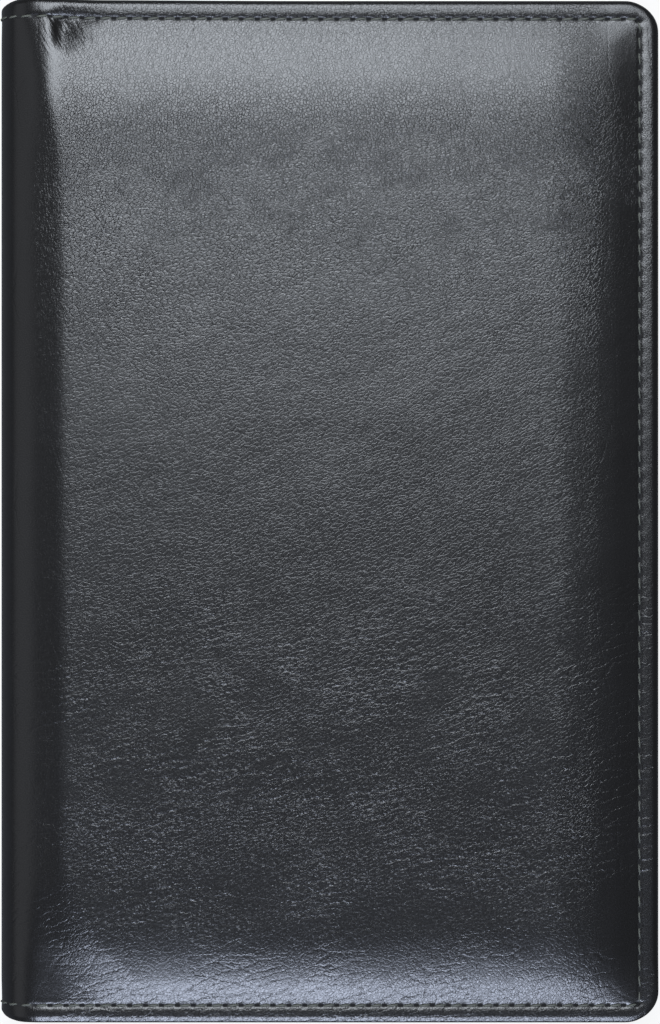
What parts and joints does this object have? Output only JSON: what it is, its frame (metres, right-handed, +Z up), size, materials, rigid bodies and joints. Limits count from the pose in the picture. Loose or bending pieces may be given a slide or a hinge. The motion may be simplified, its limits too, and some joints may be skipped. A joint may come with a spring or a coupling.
{
  "type": "business card holder",
  "caption": "Folding card case with padded, stitched leather covers round a sealed booklet of clear pocket leaves; opens flat like a book.",
  "frame": {"origin": "centre of the footprint, on the surface that the back cover rests on", "axes": "+Z up through the front cover, +Y along the spine to the top edge, +X from the spine to the fore edge"},
  "size_m": [0.125, 0.195, 0.019],
  "materials": {
    "leather": "pebbled, semi-gloss",
    "foam": "matte foam",
    "board": "grey card board",
    "lining": "fine woven lining",
    "thread": "waxed thread",
    "vinyl": "soft vinyl",
    "clear_film": "clear film"
  },
  "bodies": {
    "back_cover": {"back_leather": "leather", "back_foam": "foam", "back_board": "board", "back_lining": "lining", "back_sleeve": "lining", "back_thread": "thread", "booklet_back_flap": "vinyl"},
    "spine": {"spine_leather": "leather", "spine_lining": "lining", "booklet_binding": "vinyl", "spine_thread_top": "thread", "spine_thread_bottom": "thread"},
    "front_cover": {"front_leather": "leather", "front_foam": "foam", "front_board": "board", "front_lining": "lining", "front_sleeve": "lining", "front_thread": "thread", "booklet_front_flap": "vinyl"},
    "leaf_1": {"leaf_1": "clear_film"},
    "leaf_2": {"leaf_2": "clear_film"},
    "leaf_3": {"leaf_3": "clear_film"},
    "leaf_4": {"leaf_4": "clear_film"},
    "leaf_5": {"leaf_5": "clear_film"},
    "leaf_6": {"leaf_6": "clear_film"},
    "leaf_7": {"leaf_7": "clear_film"},
    "leaf_8": {"leaf_8": "clear_film"}
  },
  "joints": [
    {"name": "spine_fold", "type": "hinge", "parent": "back_cover", "child": "spine", "pos_m": [-0.0603, 0, 0.0042], "axis": [0, -1, 0], "range_deg": [0, 90]},
    {"name": "front_cover_fold", "type": "hinge", "parent": "spine", "child": "front_cover", "pos_m": [-0.0603, 0, 0.0148], "axis": [0, -1, 0], "range_deg": [0, 90]},
    {"name": "leaf_1_hinge", "type": "hinge", "parent": "spine", "child": "leaf_1", "pos_m": [-0.05495, 0, 0.01221], "axis": [0, -1, 0], "range_deg": [0, 78.75]},
    {"name": "leaf_2_hinge", "type": "hinge", "parent": "spine", "child": "leaf_2", "pos_m": [-0.05495, 0, 0.01144], "axis": [0, -1, 0], "range_deg": [0, 56.25]},
    {"name": "leaf_3_hinge", "type": "hinge", "parent": "spine", "child": "leaf_3", "pos_m": [-0.05495, 0, 0.01066], "axis": [0, -1, 0], "range_deg": [0, 33.75]},
    {"name": "leaf_4_hinge", "type": "hinge", "parent": "spine", "child": "leaf_4", "pos_m": [-0.05495, 0, 0.00989], "axis": [0, -1, 0], "range_deg": [0, 11.25]},
    {"name": "leaf_5_hinge", "type": "hinge", "parent": "spine", "child": "leaf_5", "pos_m": [-0.05495, 0, 0.00911], "axis": [0, -1, 0], "range_deg": [-11.25, 0]},
    {"name": "leaf_6_hinge", "type": "hinge", "parent": "spine", "child": "leaf_6", "pos_m": [-0.05495, 0, 0.00834], "axis": [0, -1, 0], "range_deg": [-33.75, 0]},
    {"name": "leaf_7_hinge", "type": "hinge", "parent": "spine", "child": "leaf_7", "pos_m": [-0.05495, 0, 0.00756], "axis": [0, -1, 0], "range_deg": [-56.25, 0]},
    {"name": "leaf_8_hinge", "type": "hinge", "parent": "spine", "child": "leaf_8", "pos_m": [-0.05495, 0, 0.00679], "axis": [0, -1, 0], "range_deg": [-78.75, 0]}
  ],
  "couplings": [
    {"joint": "front_cover_fold", "follows": "spine_fold", "ratio": 1},
    {"joint": "leaf_1_hinge", "follows": "spine_fold", "ratio": 0.875},
    {"joint": "leaf_2_hinge", "follows": "spine_fold", "ratio": 0.625},
    {"joint": "leaf_3_hinge", "follows": "spine_fold", "ratio": 0.375},
    {"joint": "leaf_4_hinge", "follows": "spine_fold", "ratio": 0.125},
    {"joint": "leaf_5_hinge", "follows": "spine_fold", "ratio": -0.125},
    {"joint": "leaf_6_hinge", "follows": "spine_fold", "ratio": -0.375},
    {"joint": "leaf_7_hinge", "follows": "spine_fold", "ratio": -0.625},
    {"joint": "leaf_8_hinge", "follows": "spine_fold", "ratio": -0.875}
  ]
}
